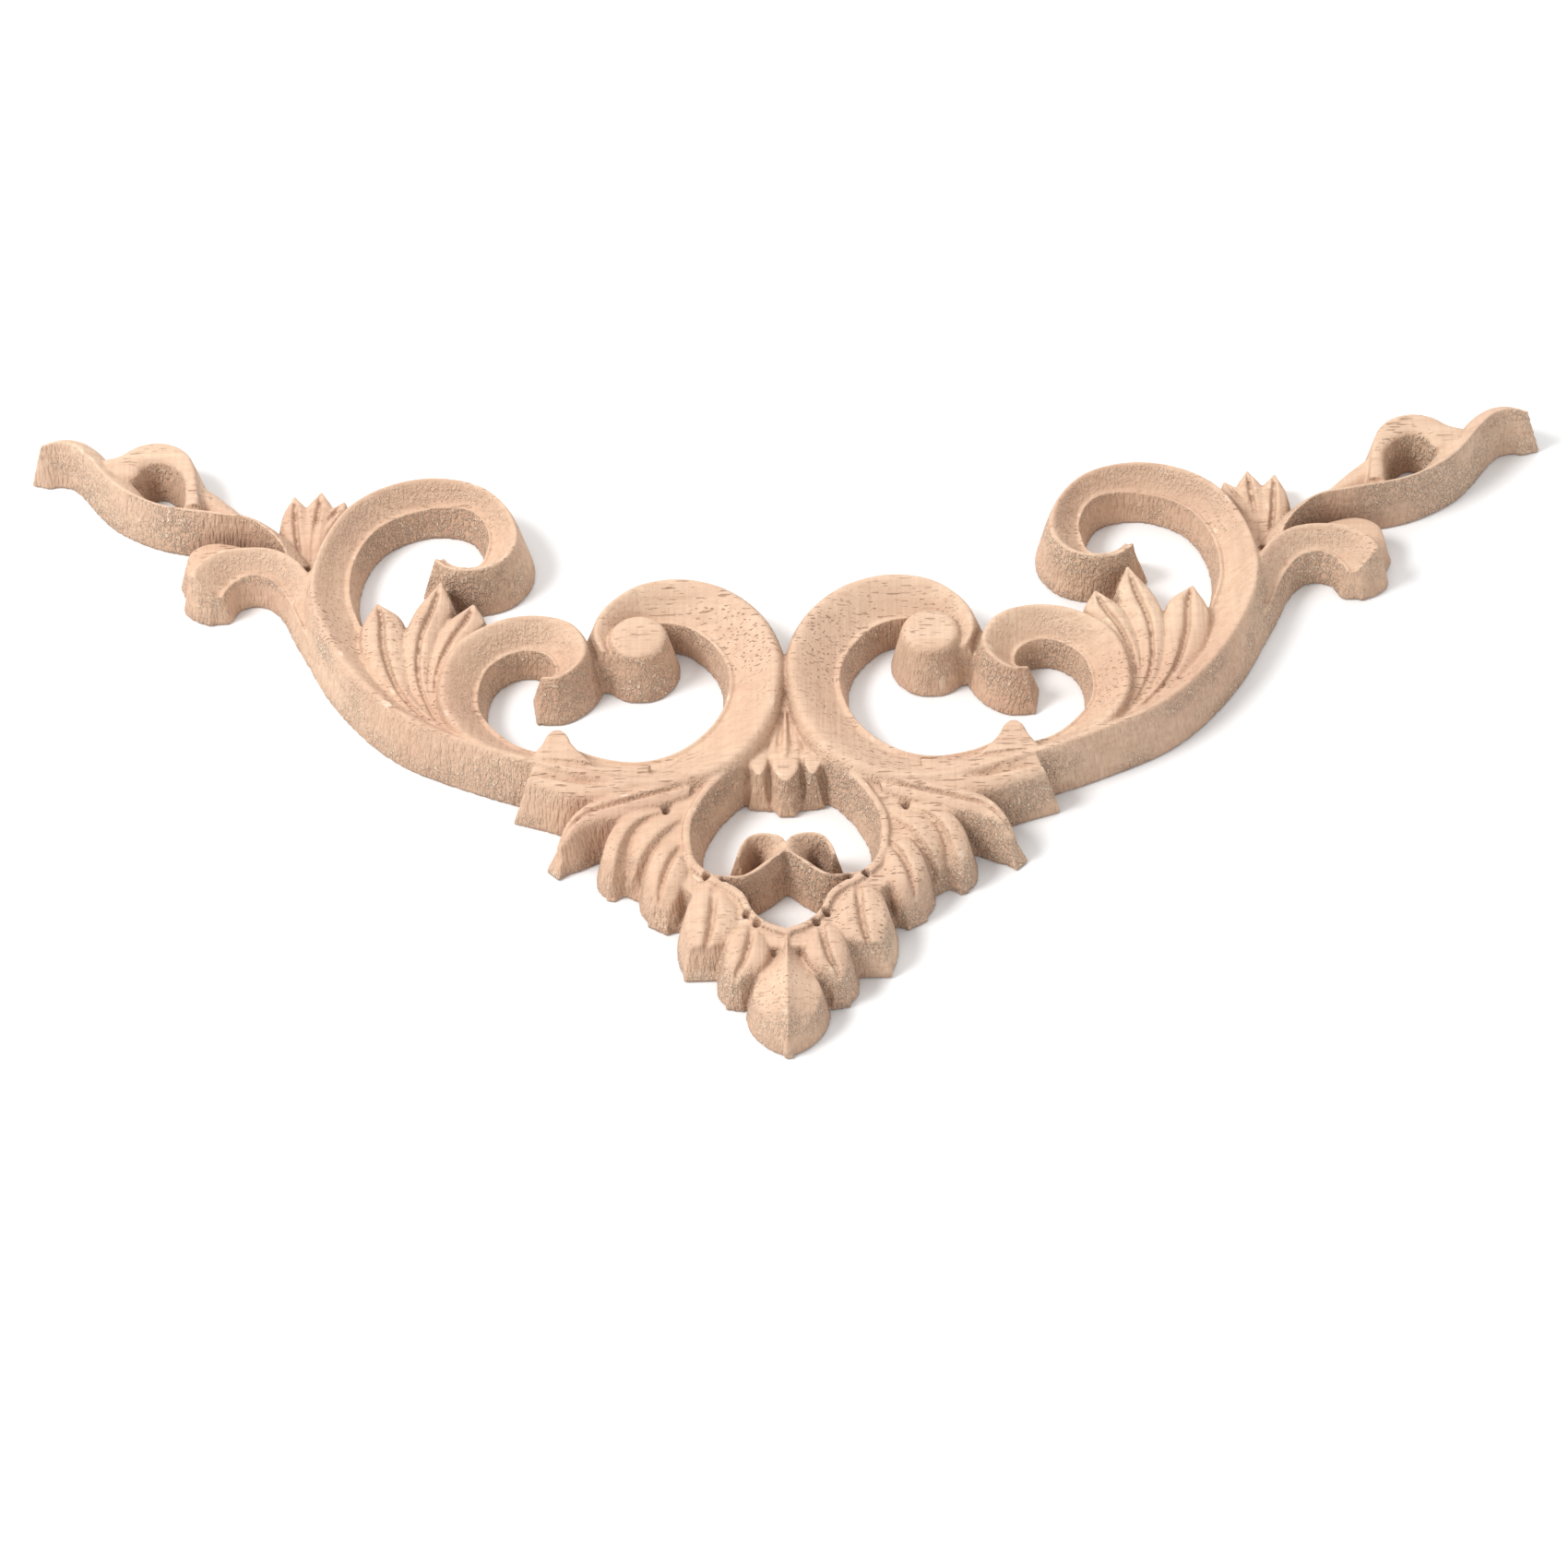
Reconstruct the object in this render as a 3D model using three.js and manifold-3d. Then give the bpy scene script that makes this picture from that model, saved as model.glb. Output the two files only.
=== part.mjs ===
import * as THREE from 'three';
import { mergeVertices } from 'three/addons/utils/BufferGeometryUtils.js';
import Module from 'manifold-3d';

const wasm = await Module();
wasm.setup();

// Driving dimensions, in millimetres and degrees.
const LEG = 150;
const THICKNESS = 8;
const WALL_DRAFT_DEG = 12;
const SHOULDER_FALL = 1.2;
const WIDE_SHOULDER_FALL = 2.2;
const BAND_FALL = 3.1;
const LIP_RISE = 0.25;
const VEIN_DEPTH = 1.1;
const LEAF_FALL = 1.3;
const SLOPE_FALL = 2.4;
const EDGE_FALL = 0.3;
const ROOF_FALL = 2.5;
const FULL_BAND_WIDTH = 4.5;
const END_FLARE = 1;
const FLARED_STATIONS = 4;
const TIP_RUN = 1.6;
const EYE_RADIUS = 3.3;
const EYE_SHOULDER = 0.7;
const EYE_SPREAD = 1.5;
const BAND_STEPS = 2;
const LEAF_STEPS = 1;
const TINY = 1e-9;
const EYE_SIDES = 16;
const SLENDER_LEAVES = 2;
const PLAIN_LEAVES = [2, 3];
const ARM_LEAF = 0;

// The plan below is drawn for a leg of 150 mm, from the notch between the two great scrolls.
const DRAWN_LEG = 150;
const SCALE = LEG / DRAWN_LEG;
const DRAFT = Math.tan(THREE.MathUtils.degToRad(WALL_DRAFT_DEG));

// Sections across a strip: the share of the way across, and the fall below the crest.
const BAND = [
  [0, SHOULDER_FALL],
  [0.14, 0],
  [0.5, BAND_FALL * 0.4],
  [0.87, BAND_FALL + LIP_RISE],
  [1, BAND_FALL],
];
const SHOULDERED = [
  [0, WIDE_SHOULDER_FALL],
  [0.2, 0],
  [0.5, BAND_FALL * 0.4],
  [0.87, BAND_FALL + LIP_RISE],
  [1, BAND_FALL],
];
const LEAF = [
  [0, LEAF_FALL],
  [0.25, LEAF_FALL * 0.35],
  [0.5, 0],
  [0.75, LEAF_FALL * 0.35],
  [1, LEAF_FALL],
];
const VEINED = [
  [0, LEAF_FALL],
  [0.3, 0],
  [0.5, VEIN_DEPTH],
  [0.7, 0],
  [1, LEAF_FALL],
];
const OPEN_LEAF = [
  [0, EDGE_FALL],
  [0.28, EDGE_FALL],
  [0.5, VEIN_DEPTH],
  [0.7, 0],
  [1, LEAF_FALL],
];
const SLOPE = [
  [0, SLOPE_FALL],
  [0.5, SLOPE_FALL * 0.4],
  [0.9, 0],
  [1, EDGE_FALL],
];
const ROUND = [
  [0, EDGE_FALL * 2],
  [0.35, 0],
  [0.75, EDGE_FALL * 0.5],
  [1, EDGE_FALL * 2],
];
const ROOF = [
  [0, ROOF_FALL],
  [0.3, ROOF_FALL * 0.5],
  [0.5, 0],
  [0.7, ROOF_FALL * 0.5],
  [1, ROOF_FALL],
];
const PLATE = [
  [0, 0],
  [1, 0],
];

// Each station of a strip is an outer point, an inner point and the crest's share of the thickness.
const GREAT_SCROLL = [
  [25.4, 1.4, 21, 0.8, 0.9],
  [26.4, 4, 21, 3, 0.95],
  [26, 6.8, 20.8, 5.4, 0.98],
  [24.2, 9.8, 19.6, 7.4, 1],
  [20.2, 13.1, 16.8, 8, 1],
  [14, 14.2, 13, 7, 1],
  [7.6, 12.1, 9.9, 4, 1],
  [2.8, 7.2, 8.1, 0.6, 1],
  [0.2, 0.4, 7.6, -3.4, 1],
  [0.2, -6, 8.8, -8.4, 1],
  [1.8, -13, 11.6, -12.6, 1],
  [6, -19.5, 15.4, -15.5, 1],
  [13, -23.2, 20, -16.7, 1],
  [21, -23.6, 25, -15.8, 1],
  [28, -21.6, 29.2, -13.8, 1],
];
const SMALL_SCROLL = [
  [33, -3, 33.1, -2.3, 0.84],
  [30.9, -3.4, 31.7, -1.9, 0.88],
  [28.4, -2.2, 31.3, -0.6, 0.93],
  [26.6, 0.2, 31.4, 0.8, 0.98],
  [26.7, 2.8, 32.1, 2.2, 1],
  [28.8, 6.2, 33.6, 3.3, 1],
  [32.6, 7.7, 35.8, 3.6, 1],
  [37, 7.7, 38.4, 2.6, 1],
  [41.2, 6.1, 40.6, 0.4, 1],
  [44.8, 3.2, 41.6, -3.2, 1],
  [47, -2.6, 41.4, -6.9, 1],
  [46.8, -9, 39.2, -10.6, 1],
  [42.5, -15.4, 35.8, -13.6, 1],
  [35.2, -18.9, 32.2, -14.8, 1],
  [27, -21.8, 28.6, -15, 1],
];
const ARM_SCROLL = [
  [30, -21.1, 31.6, -16, 1],
  [41, -16.9, 39.4, -12.8, 1],
  [52, -11.2, 48, -6.8, 1],
  [59.6, -3, 54.2, 0.6, 1],
  [64.4, 5.8, 58.4, 9.4, 1],
  [66.2, 13.6, 60, 15.4, 1],
  [64.8, 21.8, 59.4, 21.8, 1],
  [61, 29.2, 56.6, 27, 1],
  [55.6, 33, 52, 29.8, 1],
  [48.8, 34.3, 47.4, 30.4, 1],
  [41.8, 32.2, 43.2, 29, 1],
  [37.5, 27.2, 41.2, 25.4, 1],
  [36, 21.2, 41.4, 22.2, 1],
  [38.4, 17, 42.2, 19.9, 1],
  [42.8, 15.7, 44.2, 18.8, 0.98],
  [46.4, 16.4, 46.1, 19.4, 0.95],
  [48.5, 18.4, 47.3, 20.5, 0.92],
];
const HOOK = [
  [62.6, 12.2, 64.8, 5.4, 0.86],
  [65.2, 16.6, 67.2, 10.8, 0.94],
  [67.4, 19.4, 68.8, 14.6, 0.98],
  [70.6, 21.2, 71, 17.4, 1],
  [74.8, 21.6, 73.8, 18.2, 1],
  [78.8, 20.8, 76.2, 17.3, 1],
  [81.4, 18.6, 77.4, 15.5, 1],
  [82.2, 16, 77.5, 14.2, 0.97],
  [81.6, 14.4, 78, 13.2, 0.9],
];
const HOOK_UNDERLEAF = [
  [72, 22.6, 73.4, 20.6, 0.62],
  [76.6, 25, 77.2, 20.6, 0.66],
  [80, 25.5, 80.2, 19.4, 0.68],
  [82.8, 24, 81.6, 18.2, 0.66],
  [83.6, 20.8, 82, 16.8, 0.6],
  [83.2, 18.6, 82.2, 15.8, 0.5],
];
const ARM_END = [
  [65.6, 20.6, 67.8, 17.6, 0.84],
  [69.4, 25.2, 70.4, 23.2, 0.94],
  [73.6, 28.4, 74.4, 26.8, 0.98],
  [78.6, 29.9, 78.9, 27.8, 0.99],
  [86, 31, 86.2, 29.4, 0.99],
  [89, 32.6, 89.8, 31, 0.99],
  [91.4, 35.8, 93.2, 33.3, 0.99],
  [94.6, 39.6, 95.6, 36, 0.98],
  [97.1, 42.8, 97.6, 38.9, 0.98],
  [99.6, 44.6, 100, 41.5, 0.98],
  [102.2, 44.9, 102.5, 42.3, 0.97],
  [104.5, 43.4, 105, 42, 0.92],
];
const END_CURL = [
  [96, 39.9, 93.8, 36.4, 0.87],
  [93.6, 40.8, 91.2, 36.6, 0.87],
  [91.2, 42.5, 90.1, 38.4, 0.87],
  [88.4, 43.1, 88, 39.1, 0.87],
  [85.6, 42.3, 86.2, 38.4, 0.87],
  [83.7, 40.4, 85, 37.2, 0.87],
  [82.5, 37, 84.2, 35.6, 0.86],
  [82, 33.6, 84, 33, 0.87],
  [81.6, 30.4, 83.8, 30.2, 0.92],
];
const END_LEAF = [
  [72.6, 27.4, 74, 26.8, 0.66],
  [76, 30.8, 78.6, 29.2, 0.68],
  [79.2, 34.2, 82.6, 31.2, 0.68],
  [81.8, 36.6, 83.4, 34.8, 0.66],
];
const TRIO = [
  [
    [64.4, 18.4, 66, 18.2, 0.5],
    [63.2, 26.6, 66.2, 26.6, 0.58],
    [61, 31, 64.5, 30.8, 0.58],
    [61.4, 33.2, 62, 33.2, 0.5],
  ],
  [
    [65, 18.4, 66.6, 18.2, 0.5],
    [63.5, 27, 67.5, 27, 0.6],
    [63.2, 32, 67.1, 32, 0.6],
    [64.8, 35.2, 65.3, 35.2, 0.5],
  ],
  [
    [65.6, 18.2, 67.6, 18.6, 0.5],
    [65.8, 26.4, 70.3, 26.2, 0.6],
    [66.6, 31.6, 70.4, 30.6, 0.6],
    [68.5, 34.4, 69.1, 34.4, 0.5],
  ],
];
const PALMETTE = [
  [
    [45.4, -11.4, 47, -11.6, 0.8],
    [46.4, -3, 48.6, -3.4, 0.84],
    [43.6, 3.6, 48, 3.8, 0.86],
    [41, 8, 46.2, 8.4, 0.85],
    [42.4, 11.2, 43, 11.2, 0.8],
  ],
  [
    [45, -11.6, 47.6, -12.2, 0.8],
    [48, -3, 51.2, -3.6, 0.84],
    [47.4, 4.6, 52.2, 4.4, 0.88],
    [45.6, 10.8, 50.8, 10.4, 0.87],
    [47, 15.5, 47.6, 15.5, 0.8],
  ],
  [
    [44.4, -12.6, 46.4, -13.6, 0.84],
    [50.2, -5, 53.6, -6.2, 0.86],
    [51.6, 3.2, 57.8, 2, 0.88],
    [52.6, 9.2, 58, 8, 0.86],
    [55.7, 11.8, 56.4, 11.8, 0.78],
  ],
];
const FAN = [
  [
    [18, -19.4, 19, -23.6, 0.97],
    [23.3, -19.8, 23.4, -24.8, 0.97],
    [28.2, -19.1, 28, -24.7, 0.97],
    [31.6, -18.7, 32.2, -23.2, 0.97],
    [33.7, -19.3, 34.8, -22.4, 0.95],
  ],
  [
    [12.6, -20.9, 12.8, -24.8, 0.92],
    [18.1, -22.4, 17.2, -26.6, 0.96],
    [22.6, -23.9, 22, -28.2, 0.97],
    [26.9, -25.8, 25.8, -29.2, 0.94],
    [29.3, -28.6, 28.2, -30.6, 0.86],
    [30.6, -30.8, 29.8, -31.6, 0.58],
  ],
  [
    [17, -25.6, 16, -27.8, 0.84],
    [20.8, -27, 18.4, -29.6, 0.93],
    [23.2, -29.8, 20.2, -32, 0.93],
    [24.3, -33, 21.2, -34.4, 0.82],
    [24.4, -35, 22, -35.8, 0.6],
    [23.7, -36.2, 22.8, -36.5, 0.38],
  ],
  [
    [14.2, -26.4, 13.6, -29.6, 0.84],
    [17.9, -28, 15, -31.8, 0.93],
    [20.2, -30.6, 16.6, -33.8, 0.92],
    [21, -33.2, 18.2, -35.2, 0.8],
    [21.1, -35.4, 19.6, -36.3, 0.5],
  ],
  [
    [14, -31, 13, -34.6, 0.84],
    [16.6, -32.4, 12.8, -37.2, 0.92],
    [18.2, -35.4, 13.6, -39.6, 0.9],
    [18.6, -38.6, 14.6, -41.4, 0.76],
    [17.8, -40.8, 15.8, -42, 0.5],
  ],
  [
    [11.4, -38.4, 7.6, -40.6, 0.84],
    [12.7, -41.7, 6.4, -43.4, 0.9],
    [13.4, -44.8, 6.2, -46.4, 0.9],
    [13.3, -47.4, 7, -48.4, 0.86],
    [12.8, -49.5, 8.4, -49.4, 0.76],
  ],
  [
    [6.2, -45.2, 2.8, -47.6, 0.84],
    [7.6, -48.5, 2.1, -50.8, 0.92],
    [8.2, -51.4, 3, -53.3, 0.86],
    [8.2, -53.4, 4.8, -54.3, 0.74],
    [7.5, -54.6, 6, -54.9, 0.58],
  ],
];
const CORNER_LEAF = [
  [1.2, -48.6, -1.2, -48.6, 0.86],
  [2.1, -51.4, -2.1, -51.4, 0.93],
  [3.7, -54.4, -3.7, -54.4, 0.97],
  [4.4, -56.6, -4.4, -56.6, 0.97],
  [4.1, -58.6, -4.1, -58.6, 0.92],
  [3, -60.6, -3, -60.6, 0.82],
  [1.5, -62.2, -1.5, -62.2, 0.62],
  [0.4, -63, -0.4, -63, 0.46],
];
const HEART_LEAF = [
  [0.6, -2, -0.6, -2, 0.7],
  [2.6, -10, -2.6, -10, 0.78],
  [4.6, -15.2, -4.6, -15.2, 0.8],
  [5, -17.6, -5, -17.6, 0.8],
];
const DRIPS = [
  [
    [1.8, -15.4, -1.8, -15.4, 0.72],
    [1.8, -19.4, -1.8, -19.4, 0.79],
    [1.1, -20.9, -1.1, -20.9, 0.79],
    [0.3, -21.8, -0.3, -21.8, 0.76],
  ],
  [
    [4.9, -15.4, 2.4, -15.6, 0.72],
    [4.8, -18.6, 2.5, -18.8, 0.79],
    [4, -20.5, 3.2, -20.6, 0.77],
  ],
];
const WREATH = [
  [9, -17.6, 5.4, -17.2, 0.76],
  [12, -21.4, 7.6, -20.6, 0.78],
  [14.6, -25, 10.3, -24.2, 0.8],
  [16.4, -29, 12.3, -28.7, 0.8],
  [16.6, -33.4, 12.5, -32.6, 0.8],
  [15.2, -37.6, 11.7, -36, 0.8],
  [12.4, -41, 9.6, -38.2, 0.8],
  [9.8, -44, 6.2, -41.4, 0.8],
  [7.6, -47, 5.2, -44.8, 0.8],
  [4.2, -49.6, 2.8, -46.8, 0.8],
  [-0.4, -50.4, -0.4, -47.6, 0.8],
];
const RIM = [
  [6.6, -17, 5.4, -17.2, 0.86],
  [8.8, -20.2, 7.6, -20.6, 0.86],
  [11.4, -23.8, 10.3, -24.2, 0.86],
  [13.5, -28.5, 12.3, -28.7, 0.86],
  [13.7, -32.8, 12.5, -32.6, 0.86],
  [12.8, -36.6, 11.7, -36, 0.86],
  [10.3, -39.3, 9.6, -38.2, 0.86],
  [7.3, -41.9, 6.2, -41.4, 0.86],
  [6.2, -45.4, 5.2, -44.8, 0.86],
  [3.4, -47.9, 2.8, -46.8, 0.86],
  [-0.4, -48.8, -0.4, -47.6, 0.86],
];
const VOLUTE = [
  [11.2, -39.6, 10.6, -37.6, 0.84],
  [7.9, -40.4, 7.8, -38.6, 0.86],
  [5.6, -39.3, 6.2, -37.9, 0.86],
  [3.8, -38, 4.4, -36.9, 0.87],
  [1.8, -36.2, 3.2, -35.9, 0.88],
  [-0.1, -34.6, 2.85, -34.8, 0.9],
  [-0.1, -33.2, 2.8, -33.9, 0.91],
  [0.7, -32.1, 3.1, -33.1, 0.92],
  [2.4, -31.6, 3.8, -32.7, 0.92],
  [4.6, -31.9, 4.6, -33, 0.92],
  [6, -33.7, 5.2, -34, 0.9],
  [6.7, -35.5, 5.8, -35.6, 0.88],
  [6.9, -36.4, 6.2, -36.6, 0.86],
];
const TOOTH = [
  [26, -19, 34.2, -18, 1],
  [28.6, -15.6, 32.6, -15.5, 0.98],
  [29.4, -13.6, 32, -13.7, 0.93],
  [30.2, -12.6, 31.2, -12.6, 0.88],
];
const EYE_CENTRE = [19.9, 3.3];

function planRail(stations, offset) {
  const points = stations.map((s) => new THREE.Vector3(s[offset], s[offset + 1], s[4]));
  return new THREE.CatmullRomCurve3(points, false, 'centripetal');
}

// The wall of a rail leans out from its top edge, away from the other rail.
function outwardAt(rail, other, t) {
  const tangent = rail.getTangent(t);
  const away = new THREE.Vector2().subVectors(rail.getPoint(t), other.getPoint(t));
  const normal = new THREE.Vector2(tangent.y, -tangent.x);
  if (normal.lengthSq() < TINY) {
    return away.normalize();
  }
  normal.normalize();
  return normal.dot(away) < 0 ? normal.negate() : normal;
}

// A strip is lofted between two rails, with a flat underside and leaning walls on all sides.
// Its relief flattens where it is narrower than fullWidth, and flare spreads the outer wall at its start.
function strip(stations, section, options = {}) {
  const { steps = BAND_STEPS, squareStart = false, endRun = 0, fullWidth = 0, flare = 0 } = options;
  const outer = planRail(stations, 0);
  const inner = planRail(stations, 2);
  const count = (stations.length - 1) * steps;
  const across = section.length;
  const corners = [];
  for (let i = 0; i <= count; i += 1) {
    const t = i / count;
    const a = outer.getPoint(t);
    const b = inner.getPoint(t);
    const crest = Math.min(a.z, 1) * THICKNESS;
    const relief = Math.min(1, Math.hypot(b.x - a.x, b.y - a.y) / fullWidth);
    const tops = section.map(([share, fall]) => new THREE.Vector3(
      THREE.MathUtils.lerp(a.x, b.x, share) * SCALE,
      THREE.MathUtils.lerp(a.y, b.y, share) * SCALE,
      crest - fall * relief,
    ));
    const along = new THREE.Vector2(b.y - a.y, a.x - b.x).normalize();
    const middle = new THREE.Vector2().addVectors(outer.getTangent(t), inner.getTangent(t));
    if (along.dot(middle) < 0) {
      along.negate();
    }
    const footA = tops[0].clone().setZ(0);
    const footB = tops[across - 1].clone().setZ(0);
    const spread = 1 + flare * Math.max(0, 1 - i / (FLARED_STATIONS * steps));
    const leanA = outwardAt(outer, inner, t).multiplyScalar(DRAFT * spread * tops[0].z);
    const leanB = outwardAt(inner, outer, t).multiplyScalar(DRAFT * tops[across - 1].z);
    footA.x += leanA.x;
    footA.y += leanA.y;
    footB.x += leanB.x;
    footB.y += leanB.y;
    if ((i === 0 && !squareStart) || i === count) {
      const run = i === 0 ? DRAFT * crest : Math.max(endRun, DRAFT * crest);
      along.multiplyScalar(i === 0 ? -1 : 1);
      [[footA, leanA], [footB, leanB]].forEach(([foot, lean]) => {
        const reach = Math.max(run - lean.dot(along), 0);
        foot.x += along.x * reach;
        foot.y += along.y * reach;
      });
    }
    corners.push([footA, ...tops, footB]);
  }
  return loftSolid(corners);
}

// Closes a loft of equal rings: side faces round each ring, and a cap on each end.
function loftSolid(rings) {
  const size = rings[0].length;
  const positions = rings.flat().flatMap((p) => [p.x, p.y, p.z]);
  const faces = [];
  for (let i = 0; i + 1 < rings.length; i += 1) {
    for (let j = 0; j < size; j += 1) {
      const a = i * size + j;
      const b = i * size + ((j + 1) % size);
      faces.push(a, b, b + size, a, b + size, a + size);
    }
  }
  const last = (rings.length - 1) * size;
  for (let j = 1; j + 1 < size; j += 1) {
    faces.push(0, j + 1, j);
    faces.push(last, last + j, last + j + 1);
  }
  const geometry = new THREE.BufferGeometry();
  geometry.setAttribute('position', new THREE.Float32BufferAttribute(positions, 3));
  geometry.setIndex(faces);
  return solidFrom(geometry);
}

function signedVolume(positions, faces) {
  let volume = 0;
  for (let i = 0; i < faces.length; i += 3) {
    const [a, b, c] = [0, 1, 2].map((k) => new THREE.Vector3().fromArray(positions, faces[i + k] * 3));
    volume += a.dot(b.cross(c)) / 6;
  }
  return volume;
}

// Turns a closed geometry into a solid, with its faces pointing out.
function solidFrom(geometry) {
  const plain = geometry.clone();
  plain.deleteAttribute('normal');
  plain.deleteAttribute('uv');
  const merged = mergeVertices(plain);
  const positions = merged.attributes.position.array;
  const faces = Uint32Array.from(merged.index.array);
  if (signedVolume(positions, faces) < 0) {
    for (let i = 0; i < faces.length; i += 3) {
      [faces[i + 1], faces[i + 2]] = [faces[i + 2], faces[i + 1]];
    }
  }
  return new wasm.Manifold(new wasm.Mesh({ numProp: 3, vertProperties: positions, triVerts: faces }));
}

// The round eye of the great scroll: a spreading drum with a softened top edge.
function eye() {
  const top = EYE_RADIUS * SCALE;
  const profile = [
    new THREE.Vector2(0, 0),
    new THREE.Vector2(top + EYE_SHOULDER + EYE_SPREAD, 0),
    new THREE.Vector2(top + EYE_SHOULDER, THICKNESS - EYE_SHOULDER),
    new THREE.Vector2(top, THICKNESS),
    new THREE.Vector2(0, THICKNESS),
  ];
  const drum = new THREE.LatheGeometry(profile, EYE_SIDES);
  drum.rotateX(Math.PI / 2);
  drum.translate(EYE_CENTRE[0] * SCALE, EYE_CENTRE[1] * SCALE, 0);
  return solidFrom(drum);
}

function fuse(solids) {
  return solids.reduce((whole, solid) => whole.add(solid));
}

// Everything that is carved once on each side of the middle line.
function sideSolids() {
  const side = [
    strip(GREAT_SCROLL, BAND, { fullWidth: FULL_BAND_WIDTH, flare: END_FLARE }),
    strip(SMALL_SCROLL, BAND, { fullWidth: FULL_BAND_WIDTH, flare: END_FLARE }),
    strip(ARM_SCROLL, SHOULDERED, { fullWidth: FULL_BAND_WIDTH }),
    strip(HOOK, BAND, { fullWidth: FULL_BAND_WIDTH }),
    strip(HOOK_UNDERLEAF, PLATE, { steps: LEAF_STEPS }),
    strip(ARM_END, SLOPE, { steps: LEAF_STEPS }),
    strip(END_CURL, ROUND, { steps: LEAF_STEPS }),
    strip(END_LEAF, LEAF, { steps: LEAF_STEPS }),
    strip(WREATH, PLATE, { steps: LEAF_STEPS }),
    strip(RIM, PLATE, { steps: LEAF_STEPS }),
    strip(VOLUTE, PLATE, { steps: LEAF_STEPS }),
    strip(TOOTH, PLATE, { steps: LEAF_STEPS }),
    strip(DRIPS[1], PLATE, { steps: LEAF_STEPS }),
    eye(),
  ];
  [...TRIO, ...PALMETTE].forEach((leaf) => {
    side.push(strip(leaf, VEINED, { steps: LEAF_STEPS, squareStart: true }));
  });
  FAN.forEach((leaf, i) => {
    const endRun = i < SLENDER_LEAVES ? TIP_RUN : 0;
    const single = PLAIN_LEAVES.includes(i) ? LEAF : VEINED;
    const section = i === ARM_LEAF ? OPEN_LEAF : single;
    side.push(strip(leaf, section, { steps: LEAF_STEPS, squareStart: true, endRun }));
  });
  return side;
}

function mirrorSolid(solid) {
  const mesh = solid.getMesh();
  const geometry = new THREE.BufferGeometry();
  geometry.setAttribute('position', new THREE.Float32BufferAttribute(mesh.vertProperties, 3));
  geometry.setIndex(new THREE.Uint32BufferAttribute(mesh.triVerts, 1));
  geometry.scale(-1, 1, 1);
  return solidFrom(geometry);
}

function onlaySolid() {
  const half = fuse(sideSolids());
  const middle = [
    strip(CORNER_LEAF, ROOF, { steps: LEAF_STEPS, squareStart: true }),
    strip(HEART_LEAF, VEINED, { steps: LEAF_STEPS }),
    strip(DRIPS[0], PLATE, { steps: LEAF_STEPS }),
  ];
  return fuse([half, mirrorSolid(half), ...middle]);
}

const mesh = onlaySolid().getMesh();
const geometry = new THREE.BufferGeometry();
geometry.setAttribute('position', new THREE.Float32BufferAttribute(mesh.vertProperties, 3));
geometry.setIndex(new THREE.Uint32BufferAttribute(mesh.triVerts, 1));
geometry.computeBoundingBox();
geometry.translate(0, -(geometry.boundingBox.min.y + geometry.boundingBox.max.y) / 2, 0);

const rubberwood = new THREE.MeshStandardMaterial({ color: 0xdcbc9c, roughness: 0.75, metalness: 0 });
const onlay = new THREE.Mesh(geometry, rubberwood);
onlay.name = 'corner_onlay';

const group = new THREE.Group();
group.add(onlay);

export default group;
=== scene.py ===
import math

import bpy
import numpy as np
from mathutils import Matrix, Vector


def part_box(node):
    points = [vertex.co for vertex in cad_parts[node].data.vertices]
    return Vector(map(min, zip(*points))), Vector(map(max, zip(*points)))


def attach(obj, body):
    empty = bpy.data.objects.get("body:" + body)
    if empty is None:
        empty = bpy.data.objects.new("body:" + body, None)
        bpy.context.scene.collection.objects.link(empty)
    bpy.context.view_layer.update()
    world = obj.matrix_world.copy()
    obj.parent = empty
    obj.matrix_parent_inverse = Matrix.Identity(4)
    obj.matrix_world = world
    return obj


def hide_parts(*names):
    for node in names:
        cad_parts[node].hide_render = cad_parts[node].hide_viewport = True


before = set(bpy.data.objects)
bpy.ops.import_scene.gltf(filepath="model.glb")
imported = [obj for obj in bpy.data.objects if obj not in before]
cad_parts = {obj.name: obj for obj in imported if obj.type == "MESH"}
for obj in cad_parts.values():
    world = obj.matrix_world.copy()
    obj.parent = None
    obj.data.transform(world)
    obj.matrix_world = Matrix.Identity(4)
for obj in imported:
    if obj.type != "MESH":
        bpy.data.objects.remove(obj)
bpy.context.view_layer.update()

# Lengths are in millimetres until the finished mesh is scaled to metres.
MM = 0.001
THICKNESS = 8.0
DRAFT = math.tan(math.radians(12.0))
# The onlay is drawn with Y = 0 at the notch between the great scrolls, and is then moved by this in Y.
CENTRE_SHIFT = 8.887

# The lofts are fused at this voxel size and smoothed, and what lies this low is laid flat on the back.
VOXEL = 0.22
SOFTENING = 0.5
SOFTENING_TURNS = 2
FLAT_BELOW = 0.12
TARGET_TRIANGLES = 192000
# Lengths too short to divide by.
TINY = 1e-6
SHORTEST_GAP = 1e-4

# Steps along a strip from one station to the next, and widths below which a section loses its relief.
STATION_STEPS = 8
FULL_BAND_WIDTH = 4.5
SCOOP_WIDTH = 2.8
# Over its first stations, the outer wall of a scroll's end leans further by this share.
END_FLARE = 1.0
FLARED_STATIONS = 4
# Least run of the sloping wall at the tip of a long-tipped leaf.
TIP_RUN = 1.6

# Places in the list of the fan's leaves.
ARM_LEAF = 0
LONG_TIPPED_LEAVES = (0, 1)
RIDGED_LEAVES = (2, 3)

EYE_CENTRE = (19.9, 3.3)
EYE_RADIUS = 3.3
EYE_STEPS = 64
# The eye's profile from the base up: how far beyond its radius, and how far below the top.
EYE_PROFILE = [(2.2, THICKNESS), (0.75, 1.0), (0.5, 0.5), (0.1, 0.15), (-0.6, 0.0)]

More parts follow.
